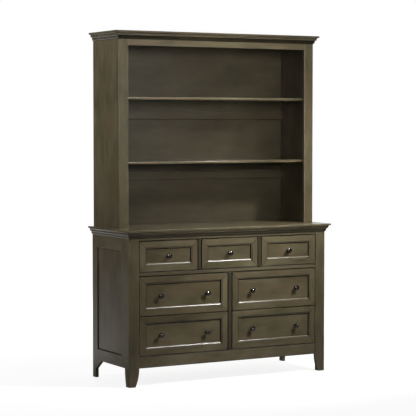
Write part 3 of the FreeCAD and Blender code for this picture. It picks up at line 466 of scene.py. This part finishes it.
def plated_steel():
    """Rolled steel with a bright zinc plating: light grey with fine lines along the slide."""
    look = bpy.context.scene.dresser_finish
    material, tree, shader = new_material("Zinc-plated steel")
    place = add_node(tree, "ShaderNodeTexCoord").outputs["Object"]
    # Rolling lines 0.8 mm apart that run along the slide.
    scale = (1 / (0.8 * MM), 1 / (60 * MM), 1 / (0.8 * MM))
    along = add_node(tree, "ShaderNodeVectorMath", {"operation": "MULTIPLY", 1: scale}, {0: place})
    lines = add_node(tree, "ShaderNodeTexNoise", {"Scale": 1.0, "Detail": 2.0}, {"Vector": along.outputs[0]})
    colour = mixed(tree, lines.outputs[0], look.slide_dark, look.slide_colour)
    tree.links.new(colour, shader.inputs["Base Color"])
    shader.inputs["Metallic"].default_value = 1.0
    gloss = add_node(tree, "ShaderNodeMapRange", {TO_LOW: 0.25, TO_HIGH: 0.45}, {0: lines.outputs[0]})
    tree.links.new(gloss.outputs[0], shader.inputs["Roughness"])
    return material


def dress(piece, *materials):
    """Give a piece its materials in their places: faces, edges, hollows.

    The places are filled one by one, because clearing them would send every face to the first.
    """
    places = piece.data.materials
    for place, material in enumerate(materials):
        if place < len(places):
            places[place] = material
        else:
            places.append(material)


def stained(piece, along, *parts):
    """Dress a piece in stained wood; parts name the looks of its faces, its eased edges and its hollows."""
    dress(piece, *(stained_wood(along, part) for part in parts))


def body_of(node):
    """The body that carries a CAD node."""
    return frame["nodes"][node]["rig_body"]


def stand_for(piece, node):
    """Put a finished piece in the place of a CAD node."""
    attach(piece, body_of(node))
    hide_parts(node)


# Pieces

# Boards in painted shade and shaded edges below carry painted shade; worn edges also carry a painted
# highlight.
# Grain, easing as a multiple of the eased edge, and looks of the faces and of the edges.
STAINED_NODES = {
    "front_leg_left": ("Z", 3, "", "worn and highlit edge"), "front_leg_right": ("Z", 3, "", "worn and highlit edge"),
    "rear_leg_left": ("Z", 1, "", "worn and highlit edge"), "rear_leg_right": ("Z", 1, "", "worn and highlit edge"),
    "side_panel_left": ("Z", 1, "", "worn and highlit edge"), "side_panel_right": ("Z", 1, "", "worn and highlit edge"),
    "front_bottom_rail": ("X", 3, "", "glazed edge"), "front_middle_rail": ("X", 3, "", "glazed edge"),
    "front_top_rail": ("X", 3, "", "glazed edge"), "front_stiles": ("Z", 4, "dark board", "glazed edge"),
    "dresser_top": ("X", 2, "", "worn and highlit edge"), "dresser_back": ("X", 1, "", "worn and highlit edge"),
    "hutch_side_left": ("Z", 1, "", "worn and highlit edge"), "hutch_side_right": ("Z", 1, "", "worn and highlit edge"),
    "hutch_stiles": ("Z", 3.5, "", "worn and highlit edge"), "hutch_top_rail": ("X", 1, "", "worn and highlit edge"),
    "hutch_back": ("X", 1, "dark board", "dark board"),
    "hutch_back_rail": ("X", 1.5, "dark board", "glazed edge"),
    "shelf_lower": ("X", 7, "", "worn and highlit edge"), "shelf_upper": ("X", 7, "", "worn and highlit edge"),
    "hutch_top": ("X", 2, "", "glazed edge"),
}
INNER_NODES = {"dust_panel": "X", "bottom_board": "X", "partitions": "Y", "slide_blocks": "Y",
               "hutch_tenons": "Z"}


class DRESSER_OT_frame_boards(bpy.types.Operator):
    """Finish the legs, rails, panels, tops, shelves and inner boards that keep their CAD shape"""
    bl_idname = "dresser.frame_boards"
    bl_label = "Frame boards"

    def execute(self, context):
        width = context.scene.dresser_sizes.edge_ease
        for node, (along, easing, *parts) in STAINED_NODES.items():
            stained(frame["nodes"][node], along, *parts)
            ease_edges(frame["nodes"][node], width * easing, from_cad=True)
        for node, along in INNER_NODES.items():
            dress(frame["nodes"][node], drawer_wood(along), drawer_wood(along))
            ease_edges(frame["nodes"][node], width / 2, from_cad=True)
        return {"FINISHED"}


class DRESSER_OT_side_frames(bpy.types.Operator):
    """Build the stiles and rails of the two panelled sides"""
    bl_idname = "dresser.side_frames"
    bl_label = "Side frames"

    def execute(self, context):
        sizes = context.scene.dresser_sizes
        thickness, stile_width = 20 * MM, 81 * MM
        lower_rail, upper_rail = 65 * MM, 101 * MM
        foot_top, foot_depth, leg_depth, taper_radius = 105 * MM, 42 * MM, 58 * MM, 500 * MM
        groove_near = 8 * MM
        groove_far = groove_near + sizes.thin_board + 2 * sizes.groove_play
        for side, node in ((-1, "side_frame_left"), (1, "side_frame_right")):
            low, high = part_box(node)
            outer = low.x if side < 0 else high.x
            stile_rear = low.y + stile_width
            leg_front = low.y - thickness
            leg_rear = leg_front + leg_depth
            boards = Boards(11 + side)
            taper = arc_points((leg_front + foot_depth, 0), (leg_rear, foot_top), taper_radius, 1)
            outline = [(low.y, 0), *taper, (leg_rear, foot_top), (stile_rear, foot_top),
                       (stile_rear, high.z), (low.y, high.z)]
            boards.bar(outline, high.x - low.x, (low.x, 0, 0), (RIGHT, REARWARD, UP), "Z")
            for base, height, up in ((foot_top, lower_rail, UP), (high.z, upper_rail, DOWN)):
                groove_floor = height - sizes.groove_depth
                section = [(0, 0), (thickness, 0), (thickness, height), (groove_far, height),
                           (groove_far, groove_floor), (groove_near, groove_floor),
                           (groove_near, height), (0, height)]
                boards.bar(section, high.y - stile_rear, (outer, stile_rear, base),
                           (REARWARD, (-side, 0, 0), up), "Y")
            piece = boards.piece(f"panelled_{node}")
            stained(piece, "board", "", "worn and highlit edge")
            ease_edges(piece, sizes.edge_ease)
            stand_for(piece, node)
        return {"FINISHED"}


def moulding_section():
    """Section of a moulding under a top board in millimetres, scaled: down, and in from its outer edge.

    Its faces are 3 to 10 for the lower hollow, 11 for the band, and 12 to 19 for the upper hollow.
    """
    height, reach = 29, 16
    band_in, toe_in = 9, 14.5
    upper_band_end, lower_band_start, lower_band_end = 7, 15, 22.5
    lower_arc = arc_points((height, toe_in), (lower_band_end, band_in), 8, 1)
    upper_arc = arc_points((lower_band_start, band_in), (upper_band_end, 0), 9, 1)
    points = [(0, 0), (0, reach), (height, reach), *lower_arc, (lower_band_end, band_in), *upper_arc,
              (upper_band_end, 0)]
    return [(down * MM, inward * MM) for down, inward in points]


class DRESSER_OT_mouldings(bpy.types.Operator):
    """Build the mitred mouldings under the dresser top and under the crown"""
    bl_idname = "dresser.mouldings"
    bl_label = "Mouldings"

    def execute(self, context):
        section = moulding_section()
        # On the front the painted shade also covers the band between the two hollows.
        hollows, hollows_and_band = (*range(3, 11), *range(12, 20)), range(3, 20)
        for seed, (node, glaze) in enumerate((("top_moulding", "dark board"),
                                              ("crown_moulding", "glazed hollow"))):
            low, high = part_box(node)
            wide, deep = high.x - low.x, high.y - low.y
            boards = Boards(31 + seed)
            for length, corner, run, inward, along, mitres, glazed in (
                    (wide, (low.x, low.y, high.z), RIGHT, REARWARD, "X", ("start", "end"),
                     hollows_and_band),
                    (deep, (low.x, high.y, high.z), FORWARD, RIGHT, "Y", ("end",), hollows),
                    (deep, (high.x, low.y, high.z), REARWARD, LEFT, "Y", ("start",), hollows)):
                boards.bar(section, length, corner, (run, DOWN, inward), along, mitres, glazed)
            piece = boards.piece(f"mitred_{node}")
            stained(piece, "board", "", "glazed edge", glaze)
            ease_edges(piece, context.scene.dresser_sizes.edge_ease / 2)
            stand_for(piece, node)
        return {"FINISHED"}


def front_section(sizes):
    """Section of a drawer front's frame: back from the face, and in from the outer edge.

    Its face 0 is the outer side, and its faces 6 to 13 are the hollow of the bevel, deepest first.
    """
    thickness = 20 * MM
    inner = sizes.frame_width + sizes.bevel_width
    slot_back = sizes.recess + sizes.thin_board + 2 * sizes.groove_play
    slot_floor = inner - sizes.groove_depth
    hollow = arc_points((sizes.recess, inner), (sizes.quirk, sizes.frame_width), sizes.hollow_radius, 1)
    return [(0, 0), (thickness, 0), (thickness, inner), (slot_back, inner), (slot_back, slot_floor),
            (sizes.recess, slot_floor), *hollow, (sizes.quirk, sizes.frame_width),
            (0, sizes.frame_width)]


class DRESSER_OT_drawer_fronts(bpy.types.Operator):
    """Build the mitred frames and the recessed panels of the drawer fronts"""
    bl_idname = "dresser.drawer_fronts"
    bl_label = "Drawer fronts"

    def execute(self, context):
        sizes = context.scene.dresser_sizes
        section = front_section(sizes)
        edge = sizes.frame_width + sizes.bevel_width - sizes.panel_tongue
        # Shade is painted into the gap and deep in the bevel; the lower bevel keeps the plain stain.
        gap_shade_only = (0,)
        glazed = (0, *range(6, 11))
        inset = Vector((sizes.front_play, 0, sizes.front_play))
        for seed, drawer in enumerate(DRAWERS):
            node = f"drawer_front_{drawer}"
            low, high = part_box(node)
            low, high = low + inset, high - inset
            wide, tall, face = high.x - low.x, high.z - low.z, low.y
            boards = Boards(51 + seed)
            for length, corner, run, inward, along, hollows in (
                    (wide, (low.x, face, low.z), RIGHT, UP, "X", gap_shade_only),
                    (wide, (high.x, face, high.z), LEFT, DOWN, "X", glazed),
                    (tall, (low.x, face, high.z), DOWN, RIGHT, "Z", glazed),
                    (tall, (high.x, face, low.z), UP, LEFT, "Z", glazed)):
                boards.bar(section, length, corner, (run, REARWARD, inward), along, ("start", "end"),
                           hollows)
            panel_face = face + sizes.recess + sizes.groove_play
            boards.board((low.x + edge, panel_face, low.z + edge),
                         (high.x - edge, panel_face + sizes.thin_board, high.z - edge), "X")
            piece = boards.piece(f"panelled_{node}")
            stained(piece, "board", "", "glazed edge", "glazed hollow")
            ease_edges(piece, 2 * sizes.edge_ease)
            stand_for(piece, node)
        return {"FINISHED"}


class DRESSER_OT_drawer_boxes(bpy.types.Operator):
    """Build the boxes behind the drawer fronts"""
    bl_idname = "dresser.drawer_boxes"
    bl_label = "Drawer boxes"

    def execute(self, context):
        sizes = context.scene.dresser_sizes
        side, front = 12 * MM, 14 * MM
        rise, groove, tongue = 11 * MM, 6 * MM, 5 * MM
        slot = rise + sizes.thin_board + 2 * sizes.groove_play
        for seed, drawer in enumerate(DRAWERS):
            node = f"drawer_box_{drawer}"
            low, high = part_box(node)
            boards = Boards(71 + seed)
            tall, deep = high.z - low.z, high.y - low.y
            inner_width = high.x - low.x - 2 * side
            for thickness, length, corner, run, inward, along in (
                    (side, deep, (low.x, low.y, low.z), REARWARD, RIGHT, "Y"),
                    (side, deep, (high.x, low.y, low.z), REARWARD, LEFT, "Y"),
                    (front, inner_width, (low.x + side, low.y, low.z), RIGHT, REARWARD, "X"),
                    (side, inner_width, (low.x + side, high.y, low.z), RIGHT, FORWARD, "X")):
                floor = thickness - groove
                wall = [(0, 0), (thickness, 0), (thickness, rise), (floor, rise), (floor, slot),
                        (thickness, slot), (thickness, tall), (0, tall)]
                boards.bar(wall, length, corner, (run, inward, UP), along)
            base = low.z + rise + sizes.groove_play
            boards.board((low.x + side - tongue, low.y + front - tongue, base),
                         (high.x - side + tongue, high.y - side + tongue, base + sizes.thin_board), "X")
            piece = boards.piece(f"jointed_{node}")
            dress(piece, drawer_wood("board"), drawer_wood("board"))
            ease_edges(piece, sizes.edge_ease)
            stand_for(piece, node)
        return {"FINISHED"}


def turned(profile, centre, around=48):
    """Points and faces of a piece turned about the axis that points out of the drawer."""
    points = []
    for radius, reach in profile:
        for step in range(around):
            angle = 2 * math.pi * step / around
            points.append((centre.x + radius * math.cos(angle), centre.y - reach,
                           centre.z + radius * math.sin(angle)))
    faces = []
    for ring in range(len(profile) - 1):
        for step in range(around):
            this, following = ring * around + step, ring * around + (step + 1) % around
            faces.append((this, following, following + around, this + around))
    last = (len(profile) - 1) * around
    faces += [tuple(range(around)), tuple(range(last, last + around))]
    return points, faces


def knob_profile():
    """Radius and reach of a mushroom knob in millimetres, scaled, from its foot to its crown."""
    neck, rim_rear, rim_front, tip = (6, 12.5), (15.6, 19.5), (15.4, 21.5), (0.6, 30)
    foot = [(9, 0), (9, 2.2), (8.2, 3), (6.6, 3.4), (6, 4.4)]
    under = arc_points(neck, rim_rear, 13, -1, 6)
    rim = arc_points(rim_rear, rim_front, 1.2, -1, 4)
    crown = arc_points(rim_front, tip, 18, -1, 12)
    return [(radius * MM, reach * MM) for radius, reach in (*foot, *under, *rim, *crown, tip)]


class DRESSER_OT_knobs(bpy.types.Operator):
    """Turn the mushroom knobs"""
    bl_idname = "dresser.knobs"
    bl_label = "Knobs"

    def execute(self, context):
        metal = blackened_metal()
        for drawer in DRAWERS:
            node = f"drawer_knobs_{drawer}"
            low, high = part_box(node)
            radius = (high.z - low.z) / 2
            count = 1 if drawer.startswith("upper") else 2
            places = [low.x + radius, high.x - radius][:count]
            boards = Boards(91)
            for x in places:
                centre = Vector((x, high.y, low.z + radius))
                boards.add(*turned(knob_profile(), centre), "Y")
            piece = boards.piece(f"turned_{node}", sharp_angle=math.radians(50))
            dress(piece, metal)
            stand_for(piece, node)
        return {"FINISHED"}


class DRESSER_OT_hardware(bpy.types.Operator):
    """Finish the slides and the shelf pins"""
    bl_idname = "dresser.hardware"
    bl_label = "Slides and pins"

    def execute(self, context):
        steel = plated_steel()
        for node in ("case_slides", "shelf_pins", *(f"drawer_slides_{drawer}" for drawer in DRAWERS)):
            dress(frame["nodes"][node], steel)
        return {"FINISHED"}


# Stage

FLOOR_REACH = 60.0
# The floor as light and gloss meet it, and the part of its white that a shadow can take away.
FLOOR_COLOUR, FLOOR_SHADE = "#8c8c8c", "#767676"
# Strength of the world's light, of the dim studio that gloss mirrors, and of a white panel in it.
AMBIENT, DIM, WHITE = 0.01, 0.05, 1.0
# The photo's camera: its place, the way it looks, and its lens in millimetres.
CAMERA_PLACE = (-4.635, -8.155, 1.4905)
CAMERA_AIM = (0.4917, 0.8691, -0.0533)
CAMERA_LENS = 136.98
# Name, place, target, size, power in watts, beam in degrees, and whether gloss mirrors it.
LAMPS = (
    ("Key", (1.25, -1.6, 2.5), (0.12, -0.25, 0.5), (0.2, 0.2), 9, 54, True),
    ("Strip light", (1.4, -1.3, 3.4), (-0.4, -0.2, 1.5), (1.8, 0.12), 14, 150, True),
    ("Hutch light", (0.3, -1.0, 3.0), (-0.2, -0.15, 1.9), (1.6, 0.03), 4, 100, True),
    ("Softbox", (-0.2, -4.0, 2.0), (0, 0, 1.7), (1.2, 1.2), 9.2, 34, True),
    ("Left front fill", (-3.4, -2.6, 1.6), (0, 0, 1.1), (2.0, 2.0), 9, 180, True),
    ("Left fill", (-3.2, 0.2, 2.6), (0, 0, 1.9), (1.8, 1.8), 26, 100, True),
    ("Right fill", (3.6, 0.8, 1.4), (0, 0, 1.0), (2.4, 2.4), 90, 180, False),
    ("Back fill", (0.4, 4.0, 2.2), (0, 0, 1.0), (2.4, 2.4), 110, 180, False),
)


def area_light(name, place, target, size, power, beam, mirrored):
    """A soft light that looks at a point."""
    lamp = bpy.data.lights.new(name, "AREA")
    lamp.shape = "RECTANGLE"
    lamp.size, lamp.size_y = size
    lamp.energy = power
    lamp.spread = math.radians(beam)
    holder = bpy.data.objects.new(name, lamp)
    holder.location = place
    holder.rotation_euler = (Vector(target) - Vector(place)).to_track_quat("-Z", "Y").to_euler()
    holder.visible_glossy = mirrored
    bpy.context.scene.collection.objects.link(holder)


def white_floor():
    """Matt painted boards that the camera sees as white, with the object's shadow on them."""
    material, tree, shader = new_material("Matt white floor")
    shader.inputs["Base Color"].default_value = (*linear(FLOOR_COLOUR), 1)
    shader.inputs["Roughness"].default_value = 0.9
    light_path = add_node(tree, "ShaderNodeLightPath")
    place = add_node(tree, "ShaderNodeTexCoord").outputs["Object"]
    away = add_node(tree, "ShaderNodeVectorMath", {"operation": "LENGTH"}, {0: place}).outputs[1]
    # The white sheet that the lacquer mirrors widens like a fan behind the object's left side.
    fan_tip = -0.83
    spot = add_node(tree, "ShaderNodeSeparateXYZ", links={0: place})
    across = add_node(tree, "ShaderNodeMath", {"operation": "ADD", 1: -fan_tip}, {0: spot.outputs["X"]})
    fan = add_node(tree, "ShaderNodeMath", {"operation": "DIVIDE"},
                   {0: across.outputs[0], 1: spot.outputs["Y"]})
    shine = light_path.outputs["Is Glossy Ray"]
    for socket, start, end, first, last in ((fan.outputs[0], -0.4, -0.28, 0.0, 1.0),
                                            (spot.outputs["Y"], 0.4, 1.2, 0.0, 1.0),
                                            (away, 6.0, 8.0, 1.0, 0.0)):
        part = add_node(tree, "ShaderNodeMapRange",
                        {FROM_LOW: start, FROM_HIGH: end, TO_LOW: first, TO_HIGH: last}, {0: socket})
        shine = add_node(tree, "ShaderNodeMath", {"operation": "MULTIPLY"},
                         {0: shine, 1: part.outputs[0]}).outputs[0]
    direct = add_node(tree, "ShaderNodeMath", {"operation": "MAXIMUM"},
                      {0: shine, 1: light_path.outputs["Is Camera Ray"]})
    level = add_node(tree, "ShaderNodeMapRange",
                     {FROM_LOW: 1.0, FROM_HIGH: 4.0, TO_LOW: 0.86, TO_HIGH: WHITE}, {0: away})
    glow = add_node(tree, "ShaderNodeEmission", {"Color": (1, 1, 1, 1)}, {"Strength": level.outputs[0]})
    shade = add_node(tree, "ShaderNodeBsdfDiffuse", {"Color": (*linear(FLOOR_SHADE), 1)})
    seen = add_node(tree, "ShaderNodeAddShader", links={0: glow.outputs[0], 1: shade.outputs[0]})
    both = add_node(tree, "ShaderNodeMixShader",
                    links={0: direct.outputs[0], 1: shader.outputs[0], 2: seen.outputs[0]})
    tree.links.new(both.outputs[0], tree.nodes["Material Output"].inputs["Surface"])
    return material


def studio_world():
    """Nearly dark for light; white for the camera; for gloss, a white panel behind on the right."""
    world = bpy.data.worlds.new("Studio")
    world.use_nodes = True
    tree = world.node_tree
    soft = tree.nodes["Background"]
    soft.inputs["Color"].default_value = (1, 1, 1, 1)
    soft.inputs["Strength"].default_value = AMBIENT
    white = add_node(tree, "ShaderNodeBackground", {"Color": (1, 1, 1, 1), "Strength": WHITE})
    aim = add_node(tree, "ShaderNodeTexCoord").outputs["Generated"]
    panel_way = (0.5, 0.86, 0.06)
    behind = add_node(tree, "ShaderNodeVectorMath", {"operation": "DOT_PRODUCT", 1: panel_way},
                      {0: aim}).outputs["Value"]
    level = add_node(tree, "ShaderNodeMapRange",
                     {FROM_LOW: 0.75, FROM_HIGH: 0.97, TO_LOW: DIM, TO_HIGH: WHITE}, {0: behind})
    mirrored = add_node(tree, "ShaderNodeBackground", {"Color": (1, 1, 1, 1)},
                        {"Strength": level.outputs[0]})
    light_path = add_node(tree, "ShaderNodeLightPath")
    glossy = add_node(tree, "ShaderNodeMixShader",
                      links={0: light_path.outputs["Is Glossy Ray"], 1: soft.outputs[0],
                             2: mirrored.outputs[0]})
    both = add_node(tree, "ShaderNodeMixShader",
                    links={0: light_path.outputs["Is Camera Ray"], 1: glossy.outputs[0],
                           2: white.outputs[0]})
    tree.links.new(both.outputs[0], tree.nodes["World Output"].inputs["Surface"])
    return world


class DRESSER_OT_stage(bpy.types.Operator):
    """Set the pale floor, the lights and the camera"""
    bl_idname = "dresser.stage"
    bl_label = "Stage"

    def execute(self, context):
        scene = context.scene
        scene.view_settings.view_transform = "Standard"
        far = FLOOR_REACH
        corners = [(-far, -far, 0), (far, -far, 0), (far, far, 0), (-far, far, 0)]
        mesh = bpy.data.meshes.new("Floor")
        mesh.from_pydata(corners, [], [(0, 1, 2, 3)])
        floor = bpy.data.objects.new("Floor", mesh)
        scene.collection.objects.link(floor)
        dress(floor, white_floor())
        scene.world = studio_world()
        for lamp in LAMPS:
            area_light(*lamp)

        camera_data = bpy.data.cameras.new("Camera")
        camera_data.sensor_width = 36.0
        camera_data.lens = CAMERA_LENS
        camera_data.clip_end = 200.0
        camera = bpy.data.objects.new("Camera", camera_data)
        camera.location = CAMERA_PLACE
        camera.rotation_euler = Vector(CAMERA_AIM).to_track_quat("-Z", "Y").to_euler()
        scene.collection.objects.link(camera)
        scene.camera = camera
        return {"FINISHED"}


class DRESSER_PT_panel(bpy.types.Panel):
    """Lists the operators in the sidebar"""
    bl_idname = "DRESSER_PT_panel"
    bl_label = "Dresser with hutch"
    bl_space_type = "VIEW_3D"
    bl_region_type = "UI"
    bl_category = "Dresser"

    def draw(self, context):
        for operator in OPERATORS:
            self.layout.operator(operator.bl_idname)
        for settings in (context.scene.dresser_sizes, context.scene.dresser_finish):
            for name in settings.bl_rna.properties.keys():
                if name not in ("name", "rna_type"):
                    self.layout.prop(settings, name)


OPERATORS = (DRESSER_OT_frame_boards, DRESSER_OT_side_frames, DRESSER_OT_mouldings,
             DRESSER_OT_drawer_fronts, DRESSER_OT_drawer_boxes, DRESSER_OT_knobs,
             DRESSER_OT_hardware, DRESSER_OT_stage)
CLASSES = (DresserFinishSettings, DresserSizeSettings, *OPERATORS, DRESSER_PT_panel)


def register():
    """Register the classes and the settings."""
    for item in CLASSES:
        bpy.utils.register_class(item)
    bpy.types.Scene.dresser_finish = bpy.props.PointerProperty(type=DresserFinishSettings)
    bpy.types.Scene.dresser_sizes = bpy.props.PointerProperty(type=DresserSizeSettings)


def unregister():
    """Undo register."""
    del bpy.types.Scene.dresser_sizes
    del bpy.types.Scene.dresser_finish
    for item in reversed(CLASSES):
        bpy.utils.unregister_class(item)


def main():
    """Run every operator in order."""
    register()
    for operator in OPERATORS:
        group, name = operator.bl_idname.split(".")
        getattr(getattr(bpy.ops, group), name)()


if __name__ == "__main__":
    main()
